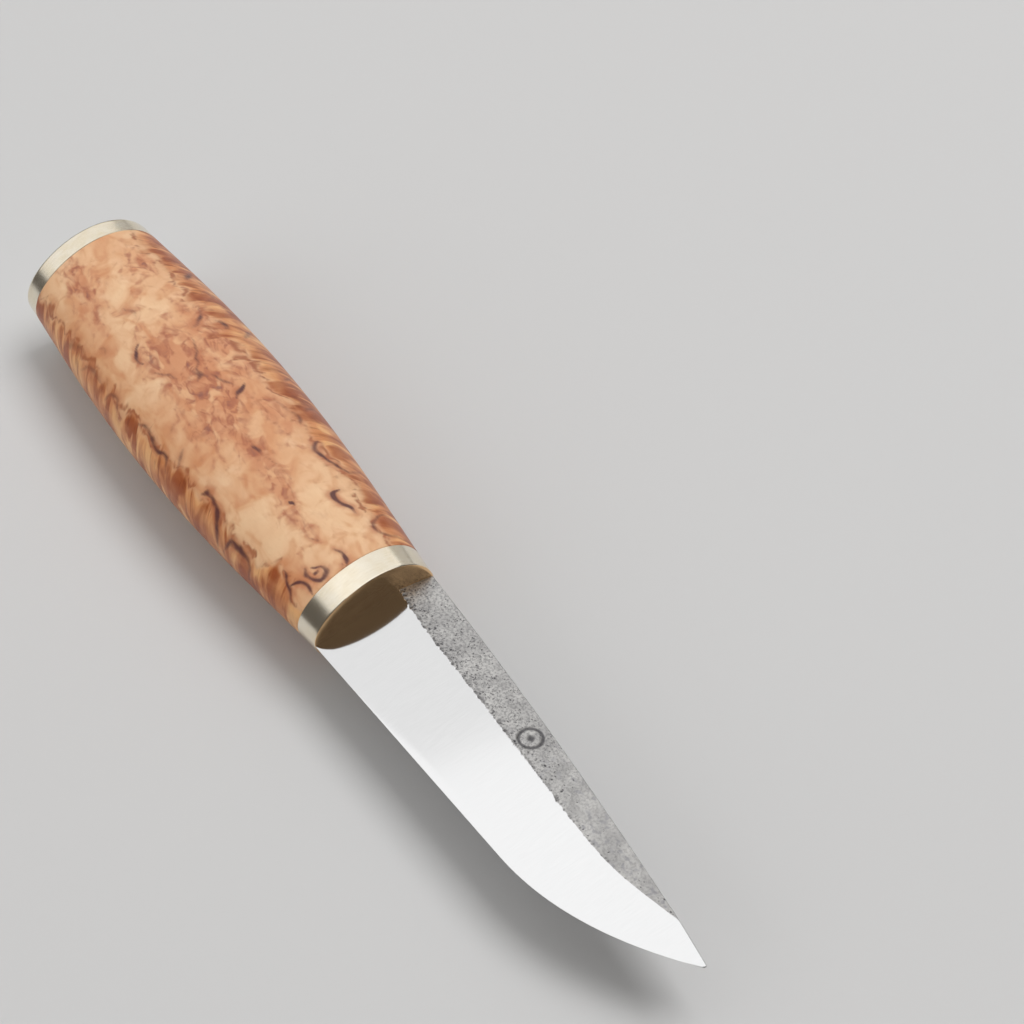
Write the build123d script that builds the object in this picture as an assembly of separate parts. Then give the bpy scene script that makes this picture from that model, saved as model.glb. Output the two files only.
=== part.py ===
from build123d import *
import math
import os

# A Scandinavian whittling knife lying on its side. Millimetres.
# Origin: centre of the bolster's front face, where blade and handle meet.
# +X runs to the blade's tip, +Y to the back (spine) of the blade, +Z up through its side.
# The blade and its narrow tang are one forging. The tang runs the whole way through a
# brass bolster, a curly-birch handle and a brass end plate, and its end is hammered out
# (peened) in a countersink in the end plate, which clamps the stack together.
# The gap round the tang inside the wood is filled with hard adhesive.

# ---- Driving dimensions ----
BLADE_LENGTH = 88.5
HANDLE_LENGTH = 106.5            # bolster, wood and end plate together
BOLSTER_LENGTH = 5.0
END_PLATE_LENGTH = 4.5

FRONT_WIDTH = 24.0               # handle outline, from the edge side to the spine side
BUTT_WIDTH = 27.3
SWELL = 6.4                      # extra width of the barrel at mid-length
SWELL_POWER = 1.24               # above 1, the barrel draws in softly at both ends
SWELL_LEAN = 0.12                # above 0, the barrel is fuller towards the butt
FRONT_THICKNESS_RATIO = 0.715    # thickness over width
BUTT_THICKNESS_RATIO = 0.765
EGG = 0.15                       # how much fuller the section is towards the spine
RIM_ROUND = 0.6                  # rounded rim at the rear of the end plate

EDGE_FRONT_Y = -11.93            # cutting edge at the bolster
EDGE_RISE = 0.0382               # rise of the straight part of the edge, per mm
BELLY_START = 53.5               # where the edge starts to curve up
SPINE_FRONT_Y = 11.75
SPINE_SLOPE = 0.0366
SPINE_DROP = 0.000507            # extra drop of the spine, per mm squared
TIP_Y = 4.3
TIP_BLUNT = 0.3                  # length left off the mathematical point
BEVEL_ANGLE = 8.4                # each side of the edge, in degrees
BEVEL_SHARE = 0.69               # bevel height over blade height
FRONT_BEVEL_RISE = 0.04          # extra share at the bolster
FRONT_BEVEL_RUN = 15.0           # length over which that extra share fades out
GRIND_RISE_START = 57.0          # where the grind line starts to rise to the spine
GRIND_END_X = 79.5               # where the bevel reaches the spine
FULL_BEVEL_SHARE = 0.97
SPINE_THICKNESS = 2.8            # at the bolster
SPINE_END_THICKNESS = 2.0        # at GRIND_END_X

TANG_LOW_Y = -6.0                # tang section inside the bolster
TANG_HIGH_Y = 9.3
TANG_RIDGE_Y = 5.2
TANG_LOW_THICKNESS = 1.6
TANG_RIDGE_THICKNESS = 5.0
TANG_HIGH_THICKNESS = 3.4
TANG_SHOULDER = 12.0             # length of that section behind the bolster's face
TANG_END_HEIGHT = 6.0
TANG_END_THICKNESS = 4.0
PEEN_RADIUS = 4.2                # mouth of the countersink in the end plate
PEEN_DEPTH = 1.4                 # depth of the countersink
PEEN_INNER_RADIUS = 3.7          # bottom of the countersink
PEEN_HEIGHT = 0.8                # dome that stands proud of the end plate

CHANNEL_FRONT_HEIGHT = 18.5      # drilled and filed channel for the tang
CHANNEL_FRONT_Y = 1.6            # the tang sits nearer the spine at the front
CHANNEL_END_HEIGHT = 9.5
CHANNEL_WIDTH = 7.0

SECTION_POINTS = 16
WOOD_SECTIONS = 11
PLATE_SECTIONS = 3

WOOD_FRONT_X = -BOLSTER_LENGTH
WOOD_REAR_X = END_PLATE_LENGTH - HANDLE_LENGTH


# ---- Handle outline ----
def handle_width(x):
    """Width of the handle at x: a straight taper plus a barrel-shaped swell."""
    share = -x / HANDLE_LENGTH
    taper = FRONT_WIDTH + (BUTT_WIDTH - FRONT_WIDTH) * share
    arch = (4.0 * share * (1.0 - share)) ** SWELL_POWER
    return taper + SWELL * arch * (1.0 + SWELL_LEAN * (share - 0.5))


def handle_thickness(x):
    """Thickness of the handle at x."""
    share = -x / HANDLE_LENGTH
    ratio = FRONT_THICKNESS_RATIO + (BUTT_THICKNESS_RATIO - FRONT_THICKNESS_RATIO) * share
    return handle_width(x) * ratio


def egg_face(x):
    """Egg-shaped section across the handle at x, fuller towards the spine."""
    points = []
    for step in range(SECTION_POINTS):
        angle = 2.0 * math.pi * step / SECTION_POINTS
        y = handle_width(x) / 2.0 * math.cos(angle)
        z = handle_thickness(x) / 2.0 * math.sin(angle) * (1.0 + EGG * math.cos(angle))
        points.append((x, y, z))
    return make_face(Spline(*points, periodic=True))


def handle_stretch(front_x, rear_x, sections):
    """The handle's outer form between two planes across it."""
    faces = []
    for step in range(sections):
        x = front_x + (rear_x - front_x) * step / (sections - 1)
        faces.append(egg_face(x))
    return loft(faces)


# ---- Blade outline ----
def edge_y(x):
    """Cutting edge: straight, then a parabolic belly up to the tip."""
    straight = EDGE_FRONT_Y + EDGE_RISE * x
    if x <= BELLY_START:
        return straight
    lift = TIP_Y - (EDGE_FRONT_Y + EDGE_RISE * BLADE_LENGTH)
    share = (x - BELLY_START) / (BLADE_LENGTH - BELLY_START)
    return straight + lift * share ** 2


def spine_y(x):
    """Back of the blade, which drops faster towards the tip."""
    return SPINE_FRONT_Y - SPINE_SLOPE * x - SPINE_DROP * x ** 2


def bevel_share(x):
    """Bevel height over blade height: even, then up to the spine near the tip."""
    front = FRONT_BEVEL_RISE * max(0.0, 1.0 - x / FRONT_BEVEL_RUN) ** 2
    run = (x - GRIND_RISE_START) / (GRIND_END_X - GRIND_RISE_START)
    run = min(max(run, 0.0), 1.0)
    return BEVEL_SHARE + front + (FULL_BEVEL_SHARE - BEVEL_SHARE) * run ** 3


def blade_face(x):
    """Five-sided section: a sharp edge, two bevels and two flats that taper to the spine."""
    ridge_y = edge_y(x) + bevel_share(x) * (spine_y(x) - edge_y(x))
    ridge_z = (ridge_y - edge_y(x)) * math.tan(math.radians(BEVEL_ANGLE))
    taper = (SPINE_END_THICKNESS - SPINE_THICKNESS) * min(x / GRIND_END_X, 1.0)
    spine_z = min((SPINE_THICKNESS + taper) / 2.0, ridge_z)
    corners = [
        (x, edge_y(x), 0),
        (x, ridge_y, ridge_z),
        (x, spine_y(x), spine_z),
        (x, spine_y(x), -spine_z),
        (x, ridge_y, -ridge_z),
    ]
    return make_face(Polyline(*corners, close=True))


def tang_face(x, low_y, ridge_y, high_y, low_thickness, ridge_thickness, high_thickness):
    """Six-sided section of the tang at x."""
    corners = [
        (x, low_y, low_thickness / 2.0),
        (x, ridge_y, ridge_thickness / 2.0),
        (x, high_y, high_thickness / 2.0),
        (x, high_y, -high_thickness / 2.0),
        (x, ridge_y, -ridge_thickness / 2.0),
        (x, low_y, -low_thickness / 2.0),
    ]
    return make_face(Polyline(*corners, close=True))


def make_tang():
    """Tang: diamond-like at the shoulder, tapering to a small bar at the end plate."""
    shoulder = (TANG_LOW_Y, TANG_RIDGE_Y, TANG_HIGH_Y)
    shoulder += (TANG_LOW_THICKNESS, TANG_RIDGE_THICKNESS, TANG_HIGH_THICKNESS)
    half = TANG_END_HEIGHT / 2.0
    bar = (-half, 0.0, half, TANG_END_THICKNESS, TANG_END_THICKNESS, TANG_END_THICKNESS)
    faces = [
        tang_face(0.0, *shoulder),
        tang_face(-TANG_SHOULDER, *shoulder),
        tang_face(WOOD_REAR_X, *bar),
        tang_face(-HANDLE_LENGTH, *bar),
    ]
    return loft(faces, ruled=True)


def make_peened_end():
    """The tang's end, hammered out into the countersink, with a low dome on top."""
    rear_x = -HANDLE_LENGTH
    dome_radius = (PEEN_RADIUS ** 2 + PEEN_HEIGHT ** 2) / (2.0 * PEEN_HEIGHT)
    dome_centre_x = rear_x - PEEN_HEIGHT + dome_radius
    half_angle = math.degrees(math.asin(PEEN_RADIUS / dome_radius))
    cone = Polyline(
        (rear_x - PEEN_HEIGHT, 0),
        (rear_x + PEEN_DEPTH, 0),
        (rear_x + PEEN_DEPTH, PEEN_INNER_RADIUS),
        (rear_x, PEEN_RADIUS),
    )
    dome = CenterArc((dome_centre_x, 0), dome_radius, 180.0 - half_angle, half_angle)
    return revolve(make_face(cone + dome), Axis.X)


def make_blade():
    """Forged blade, tang and peened end: one piece of steel."""
    stations = [0, 5, 10, 15, 27, 40, BELLY_START, 60, 65, 70, 74, 77, GRIND_END_X, 83, 86]
    stations.append(BLADE_LENGTH - TIP_BLUNT)
    blade = loft([blade_face(x) for x in stations], ruled=True)
    return blade + make_tang() + make_peened_end()


# ---- Handle pieces ----
def make_bolster(blade):
    """Brass front plate with a filed slot that fits the tang."""
    return handle_stretch(0.0, WOOD_FRONT_X, PLATE_SECTIONS) - blade


def channel_face(x, height, centre_y):
    """Round-ended section of the channel in the wood at x."""
    across = Plane(origin=(x, centre_y, 0), x_dir=(0, 1, 0), z_dir=(1, 0, 0))
    return across * SlotOverall(height, CHANNEL_WIDTH)


def make_channel():
    """Tapered space for the tang through the whole length of the wood."""
    front = channel_face(WOOD_FRONT_X, CHANNEL_FRONT_HEIGHT, CHANNEL_FRONT_Y)
    rear = channel_face(WOOD_REAR_X, CHANNEL_END_HEIGHT, 0.0)
    return loft([front.face(), rear.face()], ruled=True)


def make_handle(channel):
    """Curly-birch barrel with the channel through it."""
    return handle_stretch(WOOD_FRONT_X, WOOD_REAR_X, WOOD_SECTIONS) - channel


def make_adhesive(channel, blade):
    """Hard adhesive that fills the channel round the tang."""
    return channel - blade


def make_end_plate(blade):
    """Brass rear plate with a rounded rim and a countersunk hole filled by the tang."""
    plate = handle_stretch(WOOD_REAR_X, -HANDLE_LENGTH, PLATE_SECTIONS)
    rim = plate.faces().sort_by(Axis.X)[0].edges()
    return fillet(rim, RIM_ROUND) - blade


# ---- Assembly ----
def write(node, shape):
    """Write one piece as its own STEP file."""
    export_step(shape, "parts/" + node + ".step")


def main():
    os.makedirs("parts", exist_ok=True)
    blade = make_blade()
    channel = make_channel()
    write("blade", blade)
    write("bolster", make_bolster(blade))
    write("handle", make_handle(channel))
    write("tang_adhesive", make_adhesive(channel, blade))
    write("end_plate", make_end_plate(blade))


main()
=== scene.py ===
import itertools
import math

import bpy
import numpy as np
from mathutils import Matrix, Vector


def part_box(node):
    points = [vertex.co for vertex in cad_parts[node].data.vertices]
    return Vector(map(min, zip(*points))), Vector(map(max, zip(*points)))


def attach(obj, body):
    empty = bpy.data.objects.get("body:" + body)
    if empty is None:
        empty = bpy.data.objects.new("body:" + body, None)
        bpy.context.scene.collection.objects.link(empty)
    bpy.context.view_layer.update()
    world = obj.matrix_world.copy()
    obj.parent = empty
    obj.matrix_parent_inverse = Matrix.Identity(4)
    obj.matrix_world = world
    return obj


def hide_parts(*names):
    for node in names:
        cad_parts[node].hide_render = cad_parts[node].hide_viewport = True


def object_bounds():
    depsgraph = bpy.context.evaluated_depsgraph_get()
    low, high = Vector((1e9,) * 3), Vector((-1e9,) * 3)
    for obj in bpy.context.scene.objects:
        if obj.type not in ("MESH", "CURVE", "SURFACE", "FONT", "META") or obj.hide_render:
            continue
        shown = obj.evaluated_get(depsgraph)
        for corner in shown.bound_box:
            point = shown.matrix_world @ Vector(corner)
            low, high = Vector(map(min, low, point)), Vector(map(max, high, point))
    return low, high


# Looks for a Scandinavian whittling knife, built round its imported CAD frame.
# Shapes are worked out in millimetres in the CAD frame: +X runs to the tip, +Y to the
# spine, +Z up through the side of the blade. They become metres when a mesh is made.
# Every ring of points starts on the edge side (-Y), goes over the top (+Z) to the
# spine side (+Y) and comes back underneath.

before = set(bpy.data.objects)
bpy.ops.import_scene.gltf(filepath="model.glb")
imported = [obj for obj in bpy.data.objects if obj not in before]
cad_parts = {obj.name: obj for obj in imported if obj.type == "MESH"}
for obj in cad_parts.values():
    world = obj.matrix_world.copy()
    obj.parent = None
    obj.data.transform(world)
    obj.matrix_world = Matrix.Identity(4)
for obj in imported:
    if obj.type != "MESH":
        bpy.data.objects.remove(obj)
packed_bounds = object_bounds()

MM = 0.001
TAU = 2.0 * math.pi


def node_box(node):
    """Lowest and highest corner of a CAD node, in millimetres."""
    low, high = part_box(node)
    return np.array(low) / MM, np.array(high) / MM


BOLSTER_LOW, _ = node_box("bolster")
WOOD_LOW, WOOD_HIGH = node_box("handle")
PLATE_LOW, PLATE_HIGH = node_box("end_plate")
BLADE_LOW, BLADE_HIGH = node_box("blade")

# ---- Handle outline, as in the CAD ----
HANDLE_LENGTH = -PLATE_LOW[0]
FRONT_WIDTH = 24.0
BUTT_WIDTH = 27.3
SWELL = 6.4
SWELL_POWER = 1.24
SWELL_LEAN = 0.12
FRONT_THICKNESS_RATIO = 0.715
BUTT_THICKNESS_RATIO = 0.765
EGG = 0.15


def handle_width(x):
    """Width of the handle at x: a straight taper plus a barrel-shaped swell."""
    share = np.clip(-x / HANDLE_LENGTH, 0.0, 1.0)
    arch = (4.0 * share * (1.0 - share)) ** SWELL_POWER
    taper = FRONT_WIDTH + (BUTT_WIDTH - FRONT_WIDTH) * share
    return taper + SWELL * arch * (1.0 + SWELL_LEAN * (share - 0.5))


def handle_thickness(x):
    """Thickness of the handle at x."""
    share = np.clip(-x / HANDLE_LENGTH, 0.0, 1.0)
    ratio = FRONT_THICKNESS_RATIO + (BUTT_THICKNESS_RATIO - FRONT_THICKNESS_RATIO) * share
    return handle_width(x) * ratio


def handle_points(x, angle, inset=0.0):
    """Points on the handle's outline; inset draws them in towards the middle."""
    half_width = handle_width(x) / 2.0 - inset
    half_thickness = handle_thickness(x) / 2.0 - inset
    y = half_width * np.cos(angle)
    z = half_thickness * np.sin(angle) * (1.0 + EGG * np.cos(angle))
    return np.stack(np.broadcast_arrays(x, y, z), -1)


def even_angles(around):
    """Angles of a ring's points, from the edge side over the top."""
    return math.pi - TAU * np.arange(around) / around


# ---- Inner outlines ----
def polygon_reach(angle, corners):
    """Distance from a polygon's inside point (0, 0) to its outline in each direction."""
    direction = np.stack([np.cos(angle), np.sin(angle)], -1)
    reach = np.full(angle.shape, np.inf)
    for (y0, z0), (y1, z1) in zip(corners, corners[1:] + corners[:1]):
        normal = np.array([z1 - z0, y0 - y1])
        offset = normal @ np.array([y0, z0])
        if offset < 0:
            normal, offset = -normal, -offset
        ahead = direction @ normal
        with np.errstate(divide="ignore"):
            reach = np.minimum(reach, np.where(ahead > 1e-9, offset / ahead, np.inf))
    return reach


def outline(x, centre_y, reach, angle):
    """Ring at x with the given reach from a centre on the Y axis."""
    y = centre_y + reach * np.cos(angle)
    z = reach * np.sin(angle)
    return np.stack(np.broadcast_arrays(x, y, z), -1)


# Corners of the tang's sections as (y, z) from a centre inside it, which at the shoulder
# lies at TANG_CENTRE_Y and at the end plate on the axis.
TANG_CENTRE_Y = 3.0
TANG_SHOULDER_CORNERS = [(-9.0, 0.8), (2.2, 2.5), (6.3, 1.7), (6.3, -1.7), (2.2, -2.5), (-9.0, -0.8)]
TANG_END_CORNERS = [(-3.0, 2.0), (3.0, 2.0), (3.0, -2.0), (-3.0, -2.0)]
TANG_SHOULDER = 12.0
PEEN_RADIUS = 4.2
PEEN_DEPTH = 1.4
PEEN_INNER_RADIUS = 3.7
PEEN_HEIGHT = PLATE_LOW[0] - BLADE_LOW[0]
CHANNEL_RADIUS = 3.5
CHANNEL_FRONT_HEIGHT = 18.5
CHANNEL_FRONT_Y = 1.6
CHANNEL_END_HEIGHT = 9.5


def tang_ring(x, angle):
    """Section of the tang at x, from its shoulder section to the bar at the end plate."""
    blend = np.clip((-x - TANG_SHOULDER) / (-WOOD_LOW[0] - TANG_SHOULDER), 0.0, 1.0)
    shoulder = polygon_reach(angle, TANG_SHOULDER_CORNERS)
    bar = polygon_reach(angle, TANG_END_CORNERS)
    return outline(x, TANG_CENTRE_Y * (1 - blend), shoulder * (1 - blend) + bar * blend, angle)


def channel_ring(x, angle):
    """Round-ended section of the channel through the wood at x."""
    share = (WOOD_HIGH[0] - x) / (WOOD_HIGH[0] - WOOD_LOW[0])
    height = CHANNEL_FRONT_HEIGHT + (CHANNEL_END_HEIGHT - CHANNEL_FRONT_HEIGHT) * share
    half = height / 2.0 - CHANNEL_RADIUS
    cosine, sine = np.abs(np.cos(angle)), np.abs(np.sin(angle))
    side = CHANNEL_RADIUS / np.maximum(sine, 1e-9)
    end = half * cosine + np.sqrt(np.maximum(CHANNEL_RADIUS ** 2 - (half * sine) ** 2, 0.0))
    reach = np.where(side * cosine <= half, side, end)
    return outline(x, CHANNEL_FRONT_Y * (1 - share), reach, angle)


def between(ring_a, ring_b, steps):
    """Rings strictly between two rings."""
    return [ring_a + (ring_b - ring_a) * (step + 1) / (steps + 1) for step in range(steps)]


# ---- Meshes ----
def make_piece(name, rings, node, slot, material, loop=False, sharp=30.0, **attributes):
    """Makes one piece of the knife from rings of points, in place of one CAD node.

    loop joins the last ring to the first, as in a part with a hole through it. Without it
    both ends are closed by a fan of triangles. sharp is the angle from which edges shade
    sharp. Each attribute is a value for every point, and points left over get 0."""
    rings = np.asarray(rings, float)
    count, around = rings.shape[:2]
    points = rings.reshape(-1, 3)
    index = np.arange(count * around).reshape(count, around)
    following = np.roll(index, -1, axis=0) if loop else index[1:]
    current = index if loop else index[:-1]
    faces = np.stack(
        [current, following, np.roll(following, -1, axis=1), np.roll(current, -1, axis=1)], -1
    ).reshape(-1, 4).tolist()
    if not loop:
        points = np.vstack([points, rings[0].mean(0), rings[-1].mean(0)])
        ends = [(len(points) - 2, index[0], True), (len(points) - 1, index[-1], False)]
        for centre, ring, turned in ends:
            for a, b in zip(ring.tolist(), np.roll(ring, -1).tolist()):
                faces.append((centre, a, b) if turned else (centre, b, a))
    # turn every face round if they point inwards as a whole
    first = points[[f[0] for f in faces]]
    second, last = points[[f[1] for f in faces]], points[[f[-1] for f in faces]]
    spread = np.cross(second - first, last - first)
    if (first * spread).sum() < 0:
        faces = [tuple(reversed(f)) for f in faces]
    mesh = bpy.data.meshes.new(name)
    mesh.from_pydata((points * MM).tolist(), [], faces)
    mesh.shade_smooth()
    mesh.set_sharp_from_angle(angle=math.radians(sharp))
    for key, values in attributes.items():
        values = np.asarray(values, np.float32).ravel()
        values = np.append(values, np.zeros(len(points) - len(values), np.float32))
        mesh.attributes.new(key, "FLOAT", "POINT").data.foreach_set("value", values)
    mesh.materials.append(material)
    piece = bpy.data.objects.new(name, mesh)
    bpy.context.scene.collection.objects.link(piece)
    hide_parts(node)
    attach(piece, "root")


def soft_noise(seed, cell, *where):
    """Smooth random values from -1 to 1, with one knot per cell along each coordinate."""
    where = [w / cell for w in where]
    low = [math.floor(w.min()) for w in where]
    size = [math.ceil(w.max()) - first + 2 for w, first in zip(where, low)]
    knots = np.random.default_rng(seed).uniform(-1, 1, size)
    whole = [np.floor(w).astype(int) for w in where]
    part = [w - base for w, base in zip(where, whole)]
    part = [share * share * (3 - 2 * share) for share in part]
    total = np.zeros_like(where[0])
    for corner in itertools.product((0, 1), repeat=len(where)):
        weight = np.ones_like(total)
        for side, share in zip(corner, part):
            weight = weight * (share if side else 1 - share)
        total += weight * knots[tuple(b - l + c for b, l, c in zip(whole, low, corner))]
    return total


def smooth_step(value, low, high):
    """0 below low, 1 above high, soft between."""
    share = np.clip((value - low) / (high - low), 0.0, 1.0)
    return share * share * (3 - 2 * share)


# ---- Material nodes ----
class Nodes:
    """A material under construction, with short ways to add and link its nodes."""

    def __init__(self, name):
        self.material = bpy.data.materials.new(name)
        self.material.use_nodes = True
        self.tree = self.material.node_tree
        self.shader = self.tree.nodes["Principled BSDF"]

    def add(self, kind, out=0, settings=None, **inputs):
        """Adds a node and returns one output. Input names have _ for spaces; in0 is input 0."""
        node = self.tree.nodes.new(kind)
        for key, value in (settings or {}).items():
            setattr(node, key, value)
        for key, value in inputs.items():
            numbered = key[:2] == "in"
            socket = node.inputs[int(key[2:]) if numbered else key.replace("_", " ")]
            self.put(socket, value)
        return node.outputs[out]

    def put(self, socket, value):
        """Links an output to a socket, or sets its value."""
        if isinstance(value, bpy.types.NodeSocket):
            self.tree.links.new(value, socket)
        else:
            socket.default_value = value

    def place(self, scale=(1, 1, 1), lean=0.0):
        """Position on the object, in millimetres, turned about Y, then times a scale per axis."""
        where = self.add("ShaderNodeTexCoord", out=3)
        return self.add(
            "ShaderNodeMapping", settings={"vector_type": "TEXTURE"}, Vector=where,
            Rotation=(0.0, lean, 0.0), Scale=tuple(MM / s for s in scale),
        )

    def noise(self, vector, scale=1.0, detail=3.0, roughness=0.5, distortion=0.0):
        """Noise from 0 to 1, with features about 1 / scale wide."""
        return self.add(
            "ShaderNodeTexNoise", Vector=vector, Scale=scale, Detail=detail,
            Roughness=roughness, Distortion=distortion,
        )

    def math(self, operation, first, second=0.0, clamp=False):
        """One calculation on two values; clamp keeps the result within 0..1."""
        return self.add(
            "ShaderNodeMath", settings={"operation": operation, "use_clamp": clamp},
            in0=first, in1=second,
        )

    def ease(self, value, low, high, to_low=0.0, to_high=1.0):
        """Maps low..high softly to to_low..to_high."""
        return self.add(
            "ShaderNodeMapRange", settings={"interpolation_type": "SMOOTHSTEP"},
            in0=value, in1=low, in2=high, in3=to_low, in4=to_high,
        )

    def mix(self, factor, first, second):
        """Blends two colours."""
        colours = {"data_type": "RGBA"}
        return self.add("ShaderNodeMix", out=2, settings=colours, in0=factor, in6=first, in7=second)

    def mix_normals(self, factor, first, second):
        """Blends two surface normals."""
        vectors = {"data_type": "VECTOR"}
        return self.add("ShaderNodeMix", out=1, settings=vectors, in0=factor, in4=first, in5=second)

    def attribute(self, name):
        """A value stored on the mesh's points."""
        return self.add("ShaderNodeAttribute", out=2, settings={"attribute_name": name})

    def bump(self, height, strength, distance):
        """Surface normal from a height in 0..1, distance being its depth in millimetres."""
        return self.add(
            "ShaderNodeBump", Height=height, Strength=strength, Distance=distance * MM
        )

    def finish(self, **inputs):
        """Sets the shader's inputs and returns the material."""
        for key, value in inputs.items():
            self.put(self.shader.inputs[key.replace("_", " ")], value)
        return self.material


def linear(red, green, blue):
    """Scene colour from 0..255 display values, by the sRGB curve."""
    values = [c / 255.0 for c in (red, green, blue)]
    values = [c / 12.92 if c <= 0.04045 else ((c + 0.055) / 1.055) ** 2.4 for c in values]
    return (*values, 1.0)


# ---- Blade ----
EDGE_FRONT_Y = -11.93
EDGE_RISE = 0.0382
BELLY_START = 53.5
SPINE_FRONT_Y = 11.75
SPINE_SLOPE = 0.0366
SPINE_DROP = 0.000507
TIP_Y = 4.3
TIP_BLUNT = 0.3
BLADE_LENGTH = BLADE_HIGH[0] + TIP_BLUNT
BEVEL_SLOPE = math.tan(math.radians(8.4))
BEVEL_SHARE = 0.69
FRONT_BEVEL_RISE = 0.04
FRONT_BEVEL_RUN = 15.0
GRIND_RISE_START = 57.0
GRIND_END_X = 79.5
FULL_BEVEL_SHARE = 0.97
SPINE_THICKNESS = 2.8
SPINE_END_THICKNESS = 2.0

# Steeper bevel along the very edge
MICRO_BEVEL_SLOPE = math.tan(math.radians(15.0))
MICRO_BEVEL_OFFSET = 0.03
MICRO_BEVEL_ROW = 0.25           # height of the first row of points above the edge

SPINE_ROUND = 0.14               # rounded corners of the spine
STATION_STEP = 0.16              # points along the blade
TIP_STEPS = (0.3, 0.16, 0.06, 0.0)
TIP_DRAW = (0.5, 0.86, 0.97)     # size left of the last ring, the one before and the next
TIP_POLISH = (78.0, 80.5)        # stretch where the forged skin gives way to polish
BEVEL_ROWS = 9
FORGED_ROWS = 60
FORGED_OVERLAP = 0.10            # fine rows start this share of the height below the ridge

# A struck ring with a dot on the forged flat
STAMP_X, STAMP_Y = 38.5, 6.15
STAMP_RING_RADIUS = 2.0
STAMP_RING_HALF_WIDTH = 0.32
STAMP_DOT_RADIUS = 0.78
STAMP_DEPTH = 0.13
STAMP_LIP_RADIUS = 2.6
STAMP_LIP_HALF_WIDTH = 0.22
STAMP_LIP_HEIGHT = 0.02
STAMP_SHADE = 0.66

# How many pits, nicks in the grind line and curved grooves each side is tried with
PITS = 900
NICKS = 230
GROOVES = 18
NO_BEVEL = -0.5                  # value of the ground attribute off the bevels
HAMMER_BLOWS = 9
PEEN_GAP = 0.02                  # between the peened end and its seat
PEEN_MOUTH_DEPTH = 0.05          # depth of the chamfer round the countersink's mouth


def blade_outline(x):
    """Edge y, spine y, height share of the bevel, and half thickness of the spine."""
    lift = TIP_Y - (EDGE_FRONT_Y + EDGE_RISE * BLADE_LENGTH)
    belly = np.clip((x - BELLY_START) / (BLADE_LENGTH - BELLY_START), 0.0, 1.0)
    edge = EDGE_FRONT_Y + EDGE_RISE * x + lift * belly ** 2
    spine = SPINE_FRONT_Y - SPINE_SLOPE * x - SPINE_DROP * x ** 2
    run = np.clip((x - GRIND_RISE_START) / (GRIND_END_X - GRIND_RISE_START), 0.0, 1.0)
    share = BEVEL_SHARE + FRONT_BEVEL_RISE * np.clip(1 - x / FRONT_BEVEL_RUN, 0.0, 1.0) ** 2
    share = share + (FULL_BEVEL_SHARE - BEVEL_SHARE) * run ** 3
    taper = (SPINE_END_THICKNESS - SPINE_THICKNESS) * np.clip(x / GRIND_END_X, 0, 1)
    half = np.minimum((SPINE_THICKNESS + taper) / 2, share * (spine - edge) * BEVEL_SLOPE)
    return edge, spine, share, half


def offsets(x, y, ridge_y, centre_x, rise, reach):
    """Stations within reach of centre_x, and their points' offsets from the spot there that
    lies rise above the grind line."""
    station = np.argmin(np.abs(x[:, 0] - centre_x))
    rows = np.abs(x[:, 0] - centre_x) < reach
    return rows, x[rows] - centre_x, y[rows] - (ridge_y[station] + rise)


def press(height, pits, rows, hollow, depth, shade):
    """Sinks a hollow of the given depth into the skin, and marks it as a pit."""
    height[rows] -= depth * hollow
    pits[rows] = np.maximum(pits[rows], shade * hollow)


def forged_relief(x, y, ridge_y, seed):
    """Height of the forged skin above its plane, and how deep each point lies in a pit."""
    random = np.random.default_rng(seed)
    height = 0.016 * soft_noise(seed, 5.5, x, y) + 0.012 * soft_noise(seed + 1, 1.7, x, y)
    height += 0.012 * soft_noise(seed + 2, 0.6, x, y) + 0.010 * soft_noise(seed + 3, 0.33, x, y)
    pits = np.zeros_like(x)
    # pits: small dents, fewer towards the tip, and most of them near the grind line
    for _ in range(PITS):
        centre_x = random.uniform(0.2, 80.0)
        if random.uniform() > 1.05 - 0.85 * smooth_step(centre_x, 30.0, 66.0):
            continue
        rise = abs(random.normal(0.0, 1.0)) * 2.6 - 0.3
        radius = random.uniform(0.09, 0.16) * (1.5 if random.uniform() < 0.08 else 1.0)
        depth = random.uniform(0.3, 1.0) * radius * 0.40
        stretch = random.uniform(0.65, 1.5)
        rows, dx, dy = offsets(x, y, ridge_y, centre_x, rise, 4.5 * radius)
        hollow = np.exp(-((dx / stretch) ** 2 + (dy * stretch) ** 2) / radius ** 2)
        press(height, pits, rows, hollow, depth, min(1.0, depth / 0.05))
    # nicks that make the grind line uneven
    for _ in range(NICKS):
        centre_x = random.uniform(0.5, 1.0) * random.uniform(0.0, 74.0)
        rise = random.normal(0.0, 0.16)
        radius, depth = random.uniform(0.12, 0.34), random.uniform(0.03, 0.08)
        rows, dx, dy = offsets(x, y, ridge_y, centre_x, rise, 3.0 * radius)
        press(height, pits, rows, np.exp(-(dx ** 2 + dy ** 2) / radius ** 2), depth, 0.55)
    # shallow curved grooves, like worm tracks, nearer the bolster
    for _ in range(GROOVES):
        centre_x, turn = random.uniform(3.0, 36.0), random.uniform(0, TAU)
        radius, sweep = random.uniform(0.5, 1.4), random.uniform(1.4, 3.2)
        rise = random.uniform(0.6, 5.2)
        rows, dx, dy = offsets(x, y, ridge_y, centre_x, rise, radius + 0.6)
        along = (np.arctan2(dy, dx) - turn + math.pi) % TAU - math.pi
        away = np.abs(np.hypot(dx, dy) - radius)
        groove = np.exp(-(away / 0.12) ** 2) * smooth_step(sweep / 2 - np.abs(along), 0.0, 0.3)
        press(height, pits, rows, groove, 0.022, 0.4)
    return height, pits


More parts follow.
